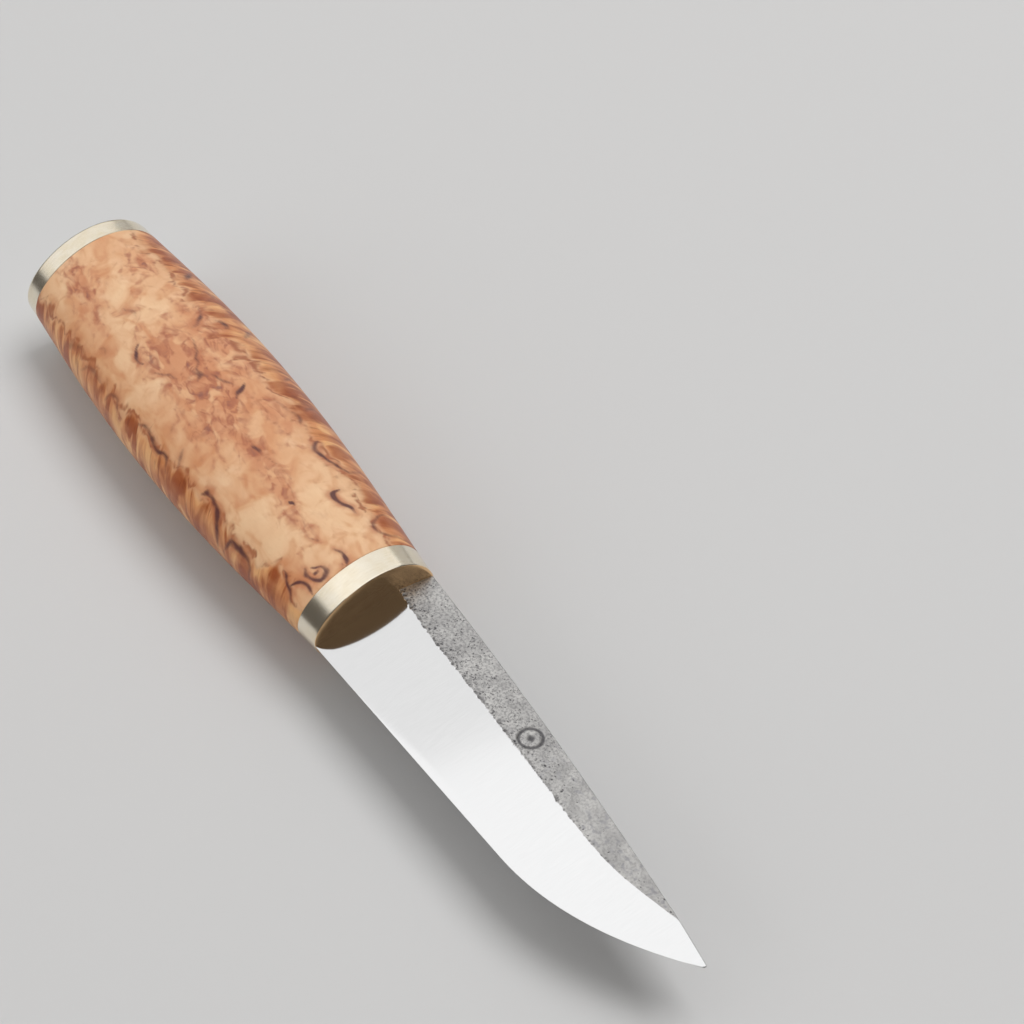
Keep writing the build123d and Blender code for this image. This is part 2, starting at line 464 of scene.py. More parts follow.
def blade_side(x, side, seed):
    """One side of the blade: its points, how far the skin lies outside the bevel's plane,
    which is above 0 where the bevel is ground, and how deep each point lies in a pit."""
    edge, spine, share, half = blade_outline(x)
    height = spine - edge
    micro = MICRO_BEVEL_ROW / height
    rows = [np.zeros_like(x), micro]
    start = share - FORGED_OVERLAP
    rows += [micro + (start - micro) * (i + 1) / BEVEL_ROWS for i in range(BEVEL_ROWS - 1)]
    rows += [start + (1 - start) * i / (FORGED_ROWS - 1) for i in range(FORGED_ROWS)]
    t = np.stack(rows, 1)
    column = x[:, None] + np.zeros_like(t)
    up = t * height[:, None]
    y = edge[:, None] + up
    bevel = np.minimum(up * MICRO_BEVEL_SLOPE, MICRO_BEVEL_OFFSET + up * BEVEL_SLOPE)
    ridge_z = (share * height * BEVEL_SLOPE)[:, None]
    skin = ridge_z + (half[:, None] - ridge_z) * (t - share[:, None]) / (1 - share[:, None])
    relief, pits = forged_relief(column, y, edge + share * height, seed)
    skin = skin + relief * (1.0 - 0.75 * smooth_step(column, 40.0, 74.0))
    if side > 0:
        away = np.hypot(column - STAMP_X, y - STAMP_Y)
        mark = np.exp(-(np.abs(away - STAMP_RING_RADIUS) / STAMP_RING_HALF_WIDTH) ** 4)
        mark += np.exp(-(away / STAMP_DOT_RADIUS) ** 4)
        lip = np.exp(-((away - STAMP_LIP_RADIUS) / STAMP_LIP_HALF_WIDTH) ** 2)
        skin = skin - STAMP_DEPTH * mark + STAMP_LIP_HEIGHT * lip
        pits = np.maximum(pits * (1 - 0.7 * mark), STAMP_SHADE * np.clip(mark, 0, 1))
    from_spine = (1 - t) * height[:, None]
    corner = np.clip(SPINE_ROUND - from_spine, 0.0, SPINE_ROUND)
    skin = skin - (SPINE_ROUND - np.sqrt(SPINE_ROUND ** 2 - corner ** 2))
    z = np.maximum(np.minimum(bevel, skin), 0.0)
    ground = skin - bevel + 0.1 * smooth_step(column, *TIP_POLISH)
    return np.stack([column, y, side * z], -1), ground, pits


def spine_point(x):
    """Points along the spine's middle line."""
    _, spine, _, _ = blade_outline(x)
    return np.stack([x, spine, np.zeros_like(x)], -1)


def make_blade(material):
    """Blade, tang and peened end: one forging."""
    tip_stations = BLADE_HIGH[0] - np.array(TIP_STEPS)
    x = np.append(np.arange(0.0, tip_stations[0], STATION_STEP), tip_stations)
    top, top_ground, top_pits = blade_side(x, 1.0, 11)
    under, under_ground, under_pits = blade_side(x, -1.0, 47)
    edge_top, edge_under = top[:, -1], under[:, -1]
    middle = np.stack([edge_top + (edge_under - edge_top) * s for s in (0.12, 0.5, 0.88)], 1)
    rings = np.concatenate([top, middle, under[:, :0:-1]], 1)
    blank = np.full((len(x), 3), NO_BEVEL)
    ground = np.concatenate([top_ground, blank, under_ground[:, :0:-1]], 1)
    pits = np.concatenate([top_pits, blank * 0, under_pits[:, :0:-1]], 1)
    # the last rings draw in, so that the point is slightly round
    centre = rings[:, :1].mean(1) * 0.35 + spine_point(x) * 0.65
    for back, keep in enumerate(TIP_DRAW, 1):
        rings[-back] = centre[-back] + (rings[-back] - centre[-back]) * keep
        rings[-back, :, 0] = x[-back]
    tail = np.array(tang_and_peen(rings[0]))
    rings = np.concatenate([tail[::-1], rings])
    fill = np.full(tail.shape[:2], NO_BEVEL)
    make_piece(
        "blade_steel", rings, "blade", "blade_steel", material, sharp=24.0,
        ground=np.concatenate([fill, ground]), pit=np.concatenate([fill * 0, pits]),
        scaled=1.0 - 0.8 * smooth_step(rings[:, :, 0], 26.0, 62.0),
    )


def tang_and_peen(first_ring):
    """Rings of the tang from the blade's first ring to the end plate, then of the peened end."""
    around = len(first_ring)
    # the points sit where the blade's do at first, and ease to even angles along the tang
    own = np.unwrap(np.arctan2(first_ring[:, 2], first_ring[:, 1] - TANG_CENTRE_Y))
    own = own - own[0] + math.pi
    even = even_angles(around)
    tail = [tang_ring(0.0, own)]
    for tang_x in [*np.linspace(-1, -TANG_SHOULDER, 6), *np.linspace(-16, WOOD_LOW[0], 20)]:
        blend = min(1.0, -tang_x / 30.0)
        tail.append(tang_ring(tang_x, own * (1 - blend) + even * blend))
    seat_x = PLATE_LOW[0] + PEEN_DEPTH
    tail.append(tang_ring(seat_x, even))
    tail.append(outline(seat_x, 0.0, PEEN_INNER_RADIUS, even))
    mouth_x = PLATE_LOW[0] + PEEN_MOUTH_DEPTH
    tail.append(outline(mouth_x, 0.0, PEEN_RADIUS - PEEN_GAP, even))
    # the dome is flattened by hammer blows: planes that cut it, each turned its own way
    dome_radius = (PEEN_RADIUS ** 2 + PEEN_HEIGHT ** 2) / (2 * PEEN_HEIGHT)
    random = np.random.default_rng(5)
    blows = [
        (random.uniform(0, TAU), random.uniform(0.12, 0.38), random.uniform(0.02, 0.09))
        for _ in range(HAMMER_BLOWS)
    ]
    for share in np.linspace(1.0, 0.04, 22):
        reach = (PEEN_RADIUS - PEEN_GAP) * share
        ring = outline(0.0, 0.0, reach, even)
        rise = np.sqrt(dome_radius ** 2 - reach ** 2) - (dome_radius - PEEN_HEIGHT)
        rise = np.full(around, rise)
        for turn, lean, low in blows:
            slope = lean * (ring[:, 1] * math.cos(turn) + ring[:, 2] * math.sin(turn))
            rise = np.minimum(rise, PEEN_HEIGHT - low + lean * 1.1 - slope)
        ring[:, 0] = PLATE_LOW[0] - np.maximum(rise, 0.0)
        tail.append(ring)
    return tail


def steel_material():
    """Polished bevel, and a grey forged skin with fine scale pits above it."""
    n = Nodes("blade_steel_finish")
    where = n.place()
    grain = n.noise(where, 2.3, detail=4.0, roughness=0.65)
    cloud = n.noise(where, 0.30, detail=4.0)
    patch = n.noise(where, 0.75, detail=2.0)
    polished = n.ease(n.attribute("ground"), -0.004, 0.010)
    scaled = n.attribute("scaled")

    # pits: small round ones and worm-like ones, in patches, besides those in the mesh
    cell = n.add("ShaderNodeTexVoronoi", Vector=where, Scale=1.55, Randomness=1.0)
    worm = n.noise(where, 1.9, detail=1.0, distortion=2.2)
    dense = n.math("MULTIPLY", n.ease(patch, 0.36, 0.58), scaled)
    dots = n.math("MULTIPLY", n.ease(cell, 0.12, 0.34, 0.75, 0.0), dense)
    dots = n.math("MAXIMUM", dots, n.math("MULTIPLY", n.ease(worm, 0.60, 0.72, 0.0, 0.75), dense))
    pit = n.math("MAXIMUM", n.attribute("pit"), dots)

    # forged skin: grey clouds, dark specks where it is scaled, bluish smudges where it is smooth
    skin = n.mix(n.ease(cloud, 0.3, 0.7), linear(198, 197, 196), linear(222, 221, 219))
    speck = n.ease(grain, 0.44, 0.64, 0.0, 0.60)
    speck = n.math("MULTIPLY", speck, n.math("ADD", scaled, 0.25, clamp=True))
    skin = n.mix(speck, skin, linear(150, 149, 151))
    smooth = n.math("SUBTRACT", 1.0, scaled)
    smudge = n.ease(n.noise(where, 0.85, detail=1.5), 0.54, 0.68, 0.0, 0.6)
    smudge = n.math("MULTIPLY", smudge, smooth)
    skin = n.mix(smudge, skin, linear(160, 160, 168))
    skin = n.mix(n.ease(pit, 0.12, 0.82, 0.0, 0.90), skin, linear(76, 75, 80))

    # polished bevel: a mirror with faint lines across the blade
    lines = n.noise(n.place((9.0, 0.35, 0.35)), detail=4.0)
    bright = n.mix(n.ease(lines, 0.3, 0.7), linear(233, 234, 235), linear(236, 237, 238))
    rough = n.add(
        "ShaderNodeMapRange", in0=polished, in1=0.0, in2=1.0,
        in3=n.ease(grain, 0.3, 0.7, 0.44, 0.58), in4=n.ease(lines, 0.3, 0.7, 0.07, 0.09),
    )
    relief = n.math("SUBTRACT", grain, n.math("MULTIPLY", dots, 1.2))
    pores = n.bump(relief, 0.6, 0.03)
    fine = n.bump(lines, 0.012, 0.01)
    return n.finish(
        Base_Color=n.mix(polished, skin, bright), Metallic=1.0, Roughness=rough,
        Normal=n.mix_normals(polished, pores, fine),
    )


# ---- Brass ----
PLATE_AROUND = 360
PLATE_EDGE = 0.05                # tiny chamfer where a plate meets the wood
BOLSTER_EDGE = 0.20              # rounded front edge of the bolster
PLATE_RIM = 0.6                  # rounded rim at the rear of the end plate
PEEN_MOUTH_GAP = 0.04            # width of the chamfer round the countersink's mouth


def make_bolster(material):
    """Front plate with a finely rounded front edge and a slot for the tang."""
    angle = even_angles(PLATE_AROUND)
    rear_x = BOLSTER_LOW[0]
    rings = []
    for step in range(4):
        turn = math.pi / 2 * step / 3
        x = -BOLSTER_EDGE * (1 - math.cos(turn))
        rings.append(handle_points(x, angle, BOLSTER_EDGE * (1 - math.sin(turn))))
    for x in np.linspace(-BOLSTER_EDGE, rear_x + PLATE_EDGE, 20)[1:]:
        rings.append(handle_points(x, angle))
    rings.append(handle_points(rear_x, angle, PLATE_EDGE))
    slot_front, slot_rear = tang_ring(0.0, angle), tang_ring(rear_x, angle)
    rings += between(rings[-1], slot_rear, 5)
    rings.append(slot_rear)
    rings += between(slot_rear, slot_front, 4)
    rings.append(slot_front)
    rings += between(slot_front, rings[0], 5)
    make_piece("bolster_brass", rings, "bolster", "brass", material, loop=True, sharp=28.0)


def make_end_plate(material):
    """Rear plate with a rounded rim and a countersink filled by the tang's end."""
    angle = even_angles(PLATE_AROUND)
    front_x, rear_x = PLATE_HIGH[0], PLATE_LOW[0]
    rings = [handle_points(front_x, angle, PLATE_EDGE)]
    for x in np.linspace(front_x - PLATE_EDGE, rear_x + PLATE_RIM, 16):
        rings.append(handle_points(x, angle))
    for step in range(1, 9):
        turn = math.pi / 2 * step / 8
        x = rear_x + PLATE_RIM * (1 - math.sin(turn))
        rings.append(handle_points(x, angle, PLATE_RIM * (1 - math.cos(turn))))
    mouth = outline(rear_x, 0.0, PEEN_RADIUS + PEEN_MOUTH_GAP, angle)
    rings += between(rings[-1], mouth, 8)
    rings += [mouth, outline(rear_x + PEEN_MOUTH_DEPTH, 0.0, PEEN_RADIUS, angle)]
    seat_x = rear_x + PEEN_DEPTH
    rings += [outline(seat_x, 0.0, PEEN_INNER_RADIUS, angle), tang_ring(seat_x, angle)]
    rings += between(rings[-1], tang_ring(front_x, angle), 3)
    rings.append(tang_ring(front_x, angle))
    rings += between(rings[-1], rings[0], 5)
    make_piece("end_plate_brass", rings, "end_plate", "brass", material, loop=True, sharp=28.0)


def brass_material():
    """Pale brass with fine brush marks, and a more golden tone painted on the front face as the shaded
    look of the same brass.
    """
    n = Nodes("brass_finish")
    where = n.place()
    brushed = n.noise(n.place((11.0, 0.5, 0.5)), detail=5.0, roughness=0.6)
    cloud = n.noise(where, 0.30, detail=4.0)
    colour = n.mix(n.ease(cloud, 0.3, 0.7), linear(246, 238, 221), linear(242, 231, 208))
    colour = n.mix(n.ease(brushed, 0.35, 0.75, 0.0, 0.18), colour, linear(222, 201, 163))
    # painted shade tone: the bolster's front face, round the blade, gets a more golden tone than the
    # pale lit sides
    along = n.add("ShaderNodeSeparateXYZ", Vector=where)
    colour = n.mix(n.ease(along, -0.12, -0.02), colour, linear(240, 199, 151))
    return n.finish(
        Base_Color=colour, Metallic=1.0, Roughness=n.ease(brushed, 0.3, 0.7, 0.18, 0.24),
        Normal=n.bump(brushed, 0.03, 0.01),
    )


# ---- Handle ----
WOOD_AROUND = 264
WOOD_ALONG = 330
WOOD_EDGE = 0.08                 # worn edge at both ends of the wood
WOOD_EDGE_MID = 0.03             # its middle ring
FLAME_LEAN = -0.38               # lean of the flanks' stripes, in radians
MARK_TRIES = 280
MIRROR_LENGTH = 107.0            # the clouds underneath lie at -MIRROR_LENGTH - x

# Dark marks that show on the top of the handle: strength, half width, then points as
# (x, angle in degrees round from the spine side over the top).
MARKS = [
    (0.60, 0.40, (-12.2, 33), (-12.0, 46), (-11.0, 54), (-9.5, 57), (-8.0, 54), (-7.0, 45), (-6.6, 35)),
    (1.00, 0.34, (-20.0, 65), (-19.3, 70), (-17.6, 71.5), (-16.0, 69), (-15.0, 64.5), (-14.0, 63.5)),
    (0.85, 0.42, (-32.2, 53), (-31.2, 58.5), (-29.4, 60), (-27.0, 56), (-25.0, 51), (-23.8, 44)),
    (0.60, 0.55, (-39.8, 57), (-38.5, 54), (-37.0, 57)),
    (0.35, 0.45, (-45.0, 64), (-42.0, 60), (-40.0, 58)),
    (1.00, 0.36, (-50.4, 72), (-49.4, 78), (-48.0, 84)),
    (0.68, 0.46, (-73.5, 58), (-71.0, 62), (-69.5, 68), (-68.0, 74)),
    (0.62, 0.50, (-68.5, 57), (-67.0, 53), (-65.5, 55)),
    (0.60, 0.34, (-66.0, 80), (-62.5, 83), (-60.0, 88), (-57.5, 91)),
    (0.75, 0.34, (-59.8, 88), (-58.2, 91), (-56.6, 92), (-55.6, 95.5)),
    (0.60, 0.30, (-59.0, 95), (-57.6, 92.5), (-56.4, 89)),
    (0.55, 0.32, (-56.5, 86), (-53.5, 84), (-51.0, 80)),
    (0.36, 0.25, (-45.0, 99), (-40.0, 97), (-36.0, 94.5), (-30.0, 91), (-25.0, 90.5), (-20.0, 95)),
    (0.70, 0.28, (-37.0, 95.5), (-35.5, 94.8), (-34.0, 93.4)),
    (0.90, 0.30, (-22.2, 98.5), (-21.4, 98.3)),
    (0.45, 0.22, (-17.0, 103), (-15.4, 100), (-12.8, 102), (-14.8, 105.5), (-17.0, 103)),
    (0.90, 0.30, (-9.2, 95.5), (-7.6, 93), (-6.2, 93.4), (-5.0, 96)),
    (0.55, 0.24, (-6.4, 97), (-5.0, 100.5)),
    (0.95, 0.34, (-10.4, 121), (-9.0, 124), (-7.0, 121), (-5.8, 116), (-6.6, 112), (-8.2, 113),
     (-9.4, 118)),
    (0.85, 0.30, (-8.0, 118), (-7.3, 116)),
    (0.95, 0.36, (-10.0, 139), (-8.7, 132), (-7.0, 129.5), (-5.2, 131.5)),
    (0.85, 0.32, (-13.2, 137), (-11.2, 139), (-9.6, 145), (-8.4, 154)),
    (0.90, 0.34, (-72.2, 111), (-71.2, 116), (-69.6, 117), (-67.6, 114)),
    (0.52, 0.32, (-63.5, 115), (-61.5, 110), (-59.0, 105)),
    (0.45, 0.40, (-82.0, 101.5), (-80.0, 99.5), (-77.8, 98.5)),
    (0.40, 0.45, (-78.2, 135), (-77.0, 131.5), (-75.8, 133)),
    (0.38, 0.45, (-52.0, 124), (-51.4, 132)),
    (0.50, 0.42, (-46.2, 131), (-45.2, 139), (-44.6, 147)),
    (0.85, 0.46, (-37.0, 144), (-35.2, 137.5), (-33.5, 141), (-32.0, 145), (-30.4, 151),
     (-29.2, 162), (-28.4, 172)),
    (0.70, 0.40, (-59.0, 147), (-56.5, 143), (-54.0, 145.5), (-51.5, 148), (-49.5, 145),
     (-47.6, 148), (-46.6, 155)),
    (0.75, 0.55, (-26.8, 174), (-26.2, 160), (-25.0, 154), (-23.0, 152.5), (-21.0, 156),
     (-19.6, 163), (-19.0, 174)),
    (0.42, 0.75, (-88.2, 168), (-86.6, 156), (-84.0, 148), (-81.5, 146)),
    (0.45, 0.60, (-80.5, 162), (-78.0, 153), (-75.5, 149), (-72.8, 151)),
    (0.50, 0.55, (-70.2, 161), (-69.0, 151.5), (-67.5, 148.5), (-66.0, 151), (-64.2, 161)),
    (0.55, 0.45, (-41.6, 28), (-41.0, 38), (-40.2, 47)),
    (0.50, 0.55, (-51.5, 26), (-50.0, 36), (-48.6, 44)),
    (0.55, 0.60, (-66.5, 27), (-64.0, 38), (-62.0, 46)),
    (0.60, 0.60, (-86.5, 30), (-84.0, 42), (-82.5, 50)),
    (0.45, 0.45, (-24.6, 28), (-24.0, 38), (-23.4, 47)),
    (0.40, 0.50, (-78.5, 30), (-76.0, 42), (-73.5, 54)),
]

# Soft red-brown clouds on the top: strength, x, angle, half length, half height in degrees.
# The underside has them too, the other way round end for end.
CLOUDS = [
    (1.00, -57.0, 94.0, 15.0, 17.0),
    (0.75, -64.0, 104.0, 9.0, 12.0),
    (0.65, -47.0, 106.0, 9.0, 13.0),
    (0.55, -36.0, 98.0, 13.0, 8.0),
    (0.35, -17.0, 103.0, 7.0, 8.0),
    (0.60, -62.0, 68.0, 13.0, 11.0),
    (0.50, -40.0, 68.0, 8.0, 9.0),
    (0.65, -91.5, 70.0, 5.0, 11.0),
    (0.65, -94.0, 114.0, 8.0, 12.0),
    (0.50, -86.0, 124.0, 6.0, 8.0),
    (0.30, -86.0, 86.0, 6.0, 10.0),
]


def through(points, steps=10):
    """Points along a smooth curve through the given points."""
    points = np.array(points, float)
    padded = np.vstack([2 * points[0] - points[1], points, 2 * points[-1] - points[-2]])
    path = []
    for a, b, c, d in zip(padded, padded[1:], padded[2:], padded[3:]):
        for t in np.arange(steps) / steps:
            path.append(
                0.5 * (2 * b + (c - a) * t + (2 * a - 5 * b + 4 * c - d) * t ** 2
                       + (3 * b - a - 3 * c + d) * t ** 3)
            )
    return np.array(path + [points[-1]])


def wobbled(x, angle, *layers):
    """Points on the handle, moved along it by smooth noise, so that marks there look grown."""
    points = handle_points(x, angle)
    moved_x, moved_angle = x.copy(), angle.copy()
    for seed, cell, size in layers:
        moved_x += size * soft_noise(seed, cell, *points.T)
        moved_angle += size * soft_noise(seed + 1, cell, *points.T) / (0.45 * handle_width(x))
    return handle_points(moved_x, moved_angle)


def stroke(surface, fleck, glow, path, strength, half_width):
    """Draws a dark mark and its soft brown surround along a path; both fade at the ends."""
    spots = handle_points(path[:, 0], np.radians(path[:, 1]))
    reach = 7.0 * half_width + 0.5
    low, high = spots.min(0) - reach, spots.max(0) + reach
    near = np.flatnonzero(((surface > low) & (surface < high)).all(1))
    if len(near) == 0:
        return
    nearest = np.full(len(near), np.inf)
    share = np.zeros(len(near))
    for i, spot in enumerate(spots):
        away = ((surface[near] - spot) ** 2).sum(1)
        closer = away < nearest
        nearest[closer], share[closer] = away[closer], i / max(1, len(spots) - 1)
    ends = 0.55 + 0.45 * np.sin(np.pi * np.clip(share, 0.02, 0.98)) ** 0.6
    core = np.exp(-nearest / (half_width * ends) ** 2 * 0.55)
    halo = np.exp(-nearest / (2.7 * half_width) ** 2 * 0.55)
    fleck[near] = np.maximum(fleck[near], strength * ends * core)
    glow[near] = np.maximum(glow[near], (0.35 + 0.5 * strength) * ends * halo)


def random_marks(surface, fleck, glow):
    """Small flecks all over: short and curved, more upright on the flanks, and few on the
    side that has the listed marks."""
    random = np.random.default_rng(23)
    for _ in range(MARK_TRIES):
        x, turn = random.uniform(-99.0, -6.5), random.uniform(0.0, 360.0)
        seen = 20 < turn < 180
        if random.uniform() < (0.97 if 48 < turn < 142 else 0.62 if seen else 0.0):
            continue
        flank = abs(math.cos(math.radians(turn)))
        strength = random.uniform(0.25, 0.95) * (0.45 if seen else 0.75)
        length, bend = random.uniform(1.2, 4.5), random.uniform(-0.5, 0.5)
        upright = random.uniform() < 0.25 + 0.65 * flank
        steps = np.linspace(-0.5, 0.5, 4)
        per_degree = handle_width(x) * 0.0076  # millimetres round the handle, roughly
        if upright:
            xs = x + bend * length * (4 * steps ** 2) + steps * length * 0.25
            turns = turn + steps * length / per_degree
        else:
            xs = x + steps * length
            turns = turn + bend * length * (4 * steps ** 2) / per_degree
        path = through(list(zip(np.clip(xs, -101.5, -5.3), turns)), 5)
        stroke(surface, fleck, glow, path, strength, random.uniform(0.18, 0.42))


def cloudiness(x, turn):
    """How strong the clouds are at each point, turn being degrees round from the spine side."""
    cloud = np.zeros(len(x))
    for strength, at_x, at_turn, half_length, half_height in CLOUDS:
        spread = ((x - at_x) / half_length) ** 2 + ((turn - at_turn) / half_height) ** 2
        cloud = np.maximum(cloud, strength * np.exp(-spread))
        mirrored_x, mirrored_turn = -MIRROR_LENGTH - at_x, 360 - at_turn
        spread = ((x - mirrored_x) / half_length) ** 2
        spread += ((turn - mirrored_turn) / half_height) ** 2
        cloud = np.maximum(cloud, 0.9 * strength * np.exp(-spread))
    return cloud


def flank_depth(surface, turn):
    """How far each point lies inside the striped flanks: 0 at their border, 1 well inside."""
    x = surface[:, 0]
    fold = np.minimum(turn, 360 - turn)
    edge_side = 144.5 - 6.0 * smooth_step(x, -36.0, -12.0)
    flank = np.maximum((fold - edge_side) / 13.0, (57.0 - fold) / 16.0)
    flank += 0.65 * soft_noise(73, 1.0, x / 6.5, surface[:, 1] / 14.0, surface[:, 2] / 14.0)
    flank += 0.30 * soft_noise(74, 2.2, *surface.T)
    return np.clip(flank, -1.5, 2.5)


def make_handle(material):
    """Barrel of curly birch with the channel for the tang."""
    angle = even_angles(WOOD_AROUND)
    front_x, rear_x = WOOD_HIGH[0], WOOD_LOW[0]
    rings = [handle_points(front_x, angle, WOOD_EDGE)]
    rings.append(handle_points(front_x - WOOD_EDGE_MID, angle, WOOD_EDGE_MID))
    along = np.linspace(front_x - WOOD_EDGE, rear_x + WOOD_EDGE, WOOD_ALONG)
    rings += [handle_points(x, angle) for x in along]
    rings.append(handle_points(rear_x + WOOD_EDGE_MID, angle, WOOD_EDGE_MID))
    rings.append(handle_points(rear_x, angle, WOOD_EDGE))
    outer = len(rings)
    rings += between(rings[-1], channel_ring(rear_x, angle), 4)
    rings += [channel_ring(x, angle) for x in np.linspace(rear_x, front_x, 12)]
    rings += between(rings[-1], rings[0], 4)
    rings = np.array(rings)
    surface = rings[:outer].reshape(-1, 3)
    # the marks are drawn on a slightly wobbled copy of the surface
    grown = wobbled(surface[:, 0], np.tile(angle, outer), (61, 3.4, 0.55), (64, 1.3, 0.30))
    fleck, glow = np.zeros(len(surface)), np.zeros(len(surface))
    for strength, half_width, *points in MARKS:
        stroke(grown, fleck, glow, through(points), strength, half_width)
    random_marks(grown, fleck, glow)
    fleck *= 0.86 + 0.30 * soft_noise(71, 1.1, *surface.T)
    turn = np.degrees(np.tile(angle, outer)) % 360
    fields = {"fleck": fleck, "glow": glow, "cloud": cloudiness(surface[:, 0], turn)}
    fields["flank"] = flank_depth(surface, turn)
    make_piece(
        "handle_wood", rings, "handle", "curly_birch", material, loop=True, sharp=30.0,
        **fields,
    )


def wood_material():
    """Oiled curly birch: cream ground, veined red-brown clouds, striped flanks, dark flecks.

    Where the clouds, the flanks and the flecks lie comes from attributes of the mesh."""
    n = Nodes("curly_birch_finish")
    where = n.place()
    broad = n.noise(where, 0.055, detail=2.0, distortion=0.5)
    swirl = n.noise(n.place((0.15, 0.21, 0.21)), detail=2.5, distortion=0.8)
    curl = n.noise(where, 0.34, detail=2.0, distortion=0.7)
    fibre = n.noise(n.place((0.27, 0.50, 0.50)), detail=2.5, roughness=0.45, distortion=0.9)
    web = n.noise(n.place((0.17, 0.26, 0.26)), detail=2.5, roughness=0.45, distortion=1.0)
    lobes = n.noise(n.place((0.20, 0.34, 0.34)), detail=2.0, roughness=0.4, distortion=0.6)
    across = n.noise(n.place((0.26, 0.070, 0.070), FLAME_LEAN), detail=2.5, distortion=1.1)
    thin = n.noise(n.place((0.80, 0.13, 0.13), FLAME_LEAN), detail=2.0, distortion=0.8)
    fine = n.noise(n.place((0.8, 4.0, 4.0)), detail=3.0, roughness=0.6)

    # ground: cream, tan and a few orange-brown swirls
    colour = n.mix(n.ease(broad, 0.38, 0.62), linear(233, 190, 147), linear(222, 168, 124))
    colour = n.mix(n.ease(swirl, 0.45, 0.74, 0.0, 0.90), colour, linear(206, 136, 88))
    colour = n.mix(n.ease(curl, 0.48, 0.78, 0.0, 0.36), colour, linear(212, 148, 104))
    colour = n.mix(n.ease(swirl, 0.47, 0.26, 0.0, 0.6), colour, linear(240, 204, 163))

    # brown clouds: soft smoke, cream lobes, broken veins and a few purplish spots
    busy = n.math("ADD", n.attribute("cloud"), n.math("SUBTRACT", curl, 0.5))
    colour = n.mix(n.ease(busy, 0.0, 0.68, 0.0, 0.80), colour, linear(206, 138, 96))
    inside = n.ease(busy, 0.05, 0.60)
    smoke = n.math("MULTIPLY", inside, n.ease(fibre, 0.44, 0.64, 0.0, 0.85))
    colour = n.mix(smoke, colour, linear(184, 114, 78))
    island = n.math("MULTIPLY", inside, n.ease(lobes, 0.48, 0.34, 0.0, 0.75))
    colour = n.mix(island, colour, linear(229, 180, 135))
    from_vein = n.math("ABSOLUTE", n.math("SUBTRACT", web, 0.5))
    vein = n.ease(from_vein, 0.0, 0.10, 1.0, 0.0)
    vein = n.math("MULTIPLY", vein, n.ease(fibre, 0.38, 0.58, 0.1, 0.75))
    vein = n.math("MULTIPLY", vein, n.ease(busy, 0.0, 0.55, 0.05, 1.0))
    colour = n.mix(vein, colour, linear(168, 98, 70))
    spot = n.math("MULTIPLY", n.ease(busy, 0.25, 0.75), n.ease(fibre, 0.56, 0.70, 0.0, 0.7))
    colour = n.mix(n.math("MULTIPLY", spot, n.ease(curl, 0.46, 0.60)), colour, linear(134, 84, 76))

    # flanks: flame-like stripes, with a darker line along their border
    uneven = n.math("MULTIPLY", n.math("SUBTRACT", across, 0.5), 2.4)
    flank = n.math("ADD", n.attribute("flank"), uneven)
    side = n.ease(flank, 0.0, 0.8)
    colour = n.mix(n.math("MULTIPLY", side, 0.70), colour, linear(213, 134, 70))
    colour = n.mix(n.ease(flank, 0.9, 2.3, 0.0, 0.55), colour, linear(178, 98, 46))
    stripes = n.math("MULTIPLY", side, n.ease(across, 0.46, 0.59))
    stripes = n.math("MULTIPLY", stripes, n.ease(swirl, 0.34, 0.56, 0.60, 1.0))
    colour = n.mix(n.math("MULTIPLY", stripes, 0.95), colour, linear(156, 74, 28))
    sharp = n.math("MULTIPLY", side, n.ease(thin, 0.53, 0.66))
    sharp = n.math("MULTIPLY", sharp, n.ease(swirl, 0.38, 0.62, 0.15, 0.75))
    colour = n.mix(sharp, colour, linear(136, 64, 26))
    pale = n.math("MULTIPLY", side, n.ease(across, 0.46, 0.37))
    colour = n.mix(n.math("MULTIPLY", pale, 0.8), colour, linear(238, 184, 124))
    from_border = n.math("ABSOLUTE", n.math("SUBTRACT", flank, 0.10))
    border = n.ease(from_border, 0.02, 0.30, 1.0, 0.0)
    border = n.math("MULTIPLY", border, n.ease(curl, 0.42, 0.58, 0.1, 0.8))
    colour = n.mix(border, colour, linear(154, 80, 42))

    # flecks: a brown surround and a purplish dark core
    glow = n.math("MULTIPLY", n.attribute("glow"), n.ease(curl, 0.30, 0.62, 0.6, 1.15))
    colour = n.mix(n.ease(glow, 0.08, 0.85, 0.0, 0.72), colour, linear(184, 110, 72))
    fleck = n.math("MULTIPLY", n.attribute("fleck"), n.ease(fine, 0.2, 0.75, 0.85, 1.12))
    colour = n.mix(n.ease(fleck, 0.10, 0.74, 0.0, 0.95), colour, linear(86, 45, 45))
    colour = n.mix(n.ease(fine, 0.52, 0.8, 0.0, 0.12), colour, linear(168, 110, 74))
    return n.finish(
        Base_Color=colour, Roughness=n.ease(fine, 0.3, 0.7, 0.36, 0.46),
        Normal=n.bump(fine, 0.10, 0.04),
        Coat_Weight=0.2, Coat_Roughness=0.22, Specular_IOR_Level=0.4,
    )


def adhesive_material():
    """Hard amber resin with a cloudy grain."""
    n = Nodes("adhesive_finish")
    where = n.place()
    cloud = n.noise(where, 0.4, detail=4.0)
    grain = n.noise(where, 3.0, detail=3.0)
    colour = n.mix(n.ease(cloud, 0.3, 0.7), linear(150, 118, 70), linear(118, 88, 50))
    return n.finish(
        Base_Color=colour, Roughness=n.ease(grain, 0.3, 0.7, 0.35, 0.5), Normal=n.bump(grain, 0.2, 0.05)
    )


brass = brass_material()
make_blade(steel_material())
make_bolster(brass)
make_end_plate(brass)
make_handle(wood_material())
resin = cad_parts["tang_adhesive"]
resin_finish = adhesive_material()
if not resin.material_slots:
    resin.data.materials.append(None)
for holder in resin.material_slots:
    holder.link = "OBJECT"
    holder.material = resin_finish

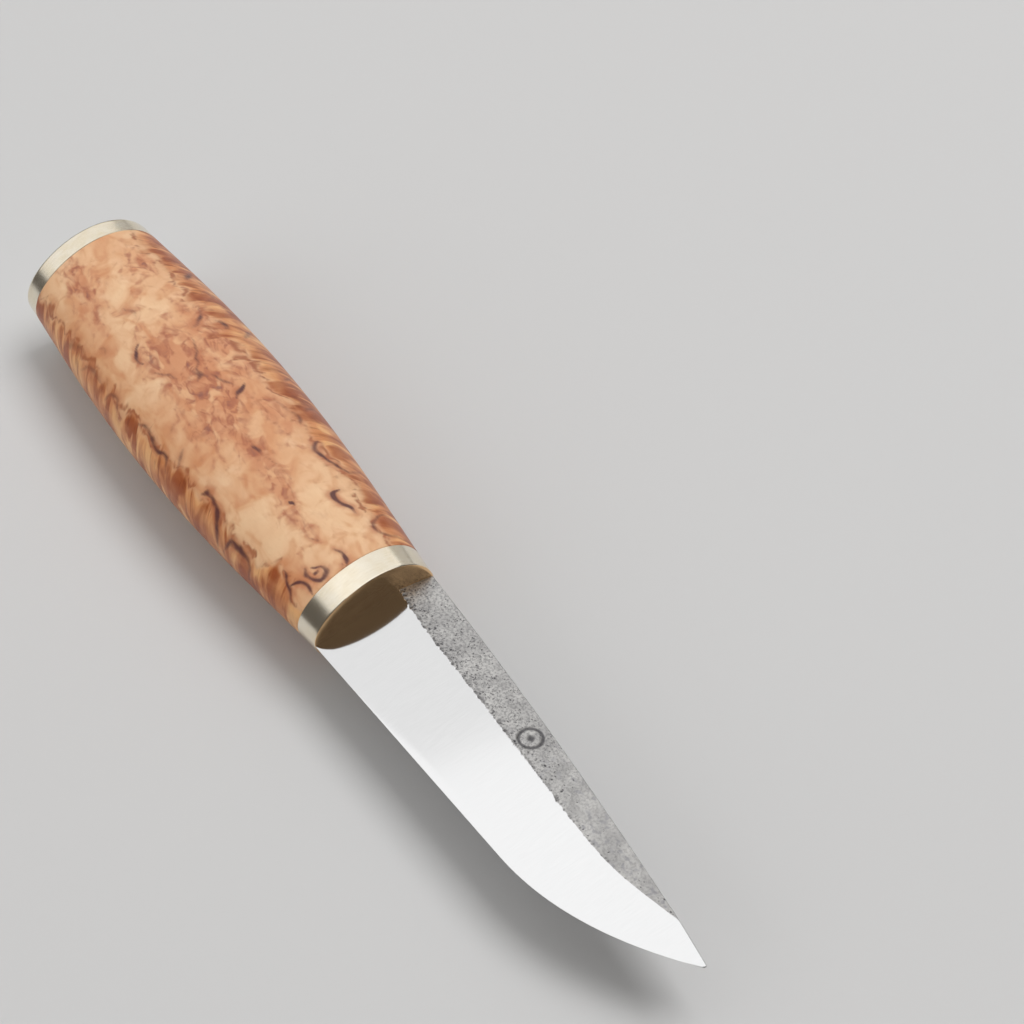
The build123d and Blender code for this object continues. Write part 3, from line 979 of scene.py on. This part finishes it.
# ---- Floor, light and camera ----
FLOOR_REACH = 4.0
FLOOR_CORNERS = ((-1, -1), (1, -1), (1, 1), (-1, 1))
floor_z = packed_bounds[0].z
floor_mesh = bpy.data.meshes.new("floor")
floor_mesh.from_pydata(
    [(x * FLOOR_REACH, y * FLOOR_REACH, floor_z) for x, y in FLOOR_CORNERS], [], [(0, 1, 2, 3)]
)
floor = bpy.data.objects.new("floor", floor_mesh)
bpy.context.scene.collection.objects.link(floor)
floor_look = Nodes("floor_finish")
floor_mesh.materials.append(floor_look.finish(Base_Color=linear(206, 206, 206), Roughness=0.9))


def softbox(name, place, width, height, power, mirrored=True, matt=True):
    """Large rectangular light that faces the knife, seen in metal, on matt surfaces, or both."""
    data = bpy.data.lights.new(name, "AREA")
    data.shape, data.size, data.size_y, data.energy = "RECTANGLE", width, height, power
    light = bpy.data.objects.new(name, data)
    bpy.context.scene.collection.objects.link(light)
    aim = -np.array(place) / np.linalg.norm(place)
    right = np.cross(aim, (0, 0, 1))
    right /= np.linalg.norm(right)
    above = np.cross(right, aim)
    light.matrix_world = Matrix(
        [(right[i], above[i], -aim[i], place[i]) for i in range(3)] + [(0, 0, 0, 1)]
    )
    light.visible_camera = False
    light.visible_glossy = mirrored
    light.visible_diffuse = matt


softbox("overhead", (-1.05, 0.12, 1.50), 3.6, 2.5, 22.5)
softbox("top", (-0.30, 0.10, 1.55), 2.2, 1.0, 1.3)
softbox("back", (-1.05, 1.45, 0.50), 1.3, 0.9, 1.5, matt=False)
softbox("side", (0.87, 1.15, 1.39), 1.2, 1.2, 2.2, matt=False)
softbox("front", (1.55, -0.50, 0.85), 1.0, 1.0, 1.5, matt=False)
softbox("key", (0.15, 0.60, 1.35), 0.8, 0.8, 12.0, mirrored=False)
softbox("fill", (-0.25, -1.50, 0.85), 1.6, 1.0, 7.5, mirrored=False)

ROOM_COLOUR = (1.0, 0.92, 0.84, 1.0)
ROOM_BRIGHTNESS = 0.105
world = bpy.data.worlds.new("studio")
world.use_nodes = True
background = world.node_tree.nodes["Background"]
background.inputs["Color"].default_value = ROOM_COLOUR
background.inputs["Strength"].default_value = ROOM_BRIGHTNESS
bpy.context.scene.world = world
bpy.context.scene.view_settings.view_transform = "Standard"

LENS = 87.9
SENSOR = 36.0
CAMERA_PLACE = (0.2475, -0.1082, 0.3289)
CAMERA_TURN = (41.07, 4.11, 56.39)  # degrees about X, Y and Z
camera_data = bpy.data.cameras.new("camera")
camera_data.lens = LENS
camera_data.sensor_width = SENSOR
camera = bpy.data.objects.new("camera", camera_data)
bpy.context.scene.collection.objects.link(camera)
camera.location = CAMERA_PLACE
camera.rotation_euler = [math.radians(turn) for turn in CAMERA_TURN]
bpy.context.scene.camera = camera
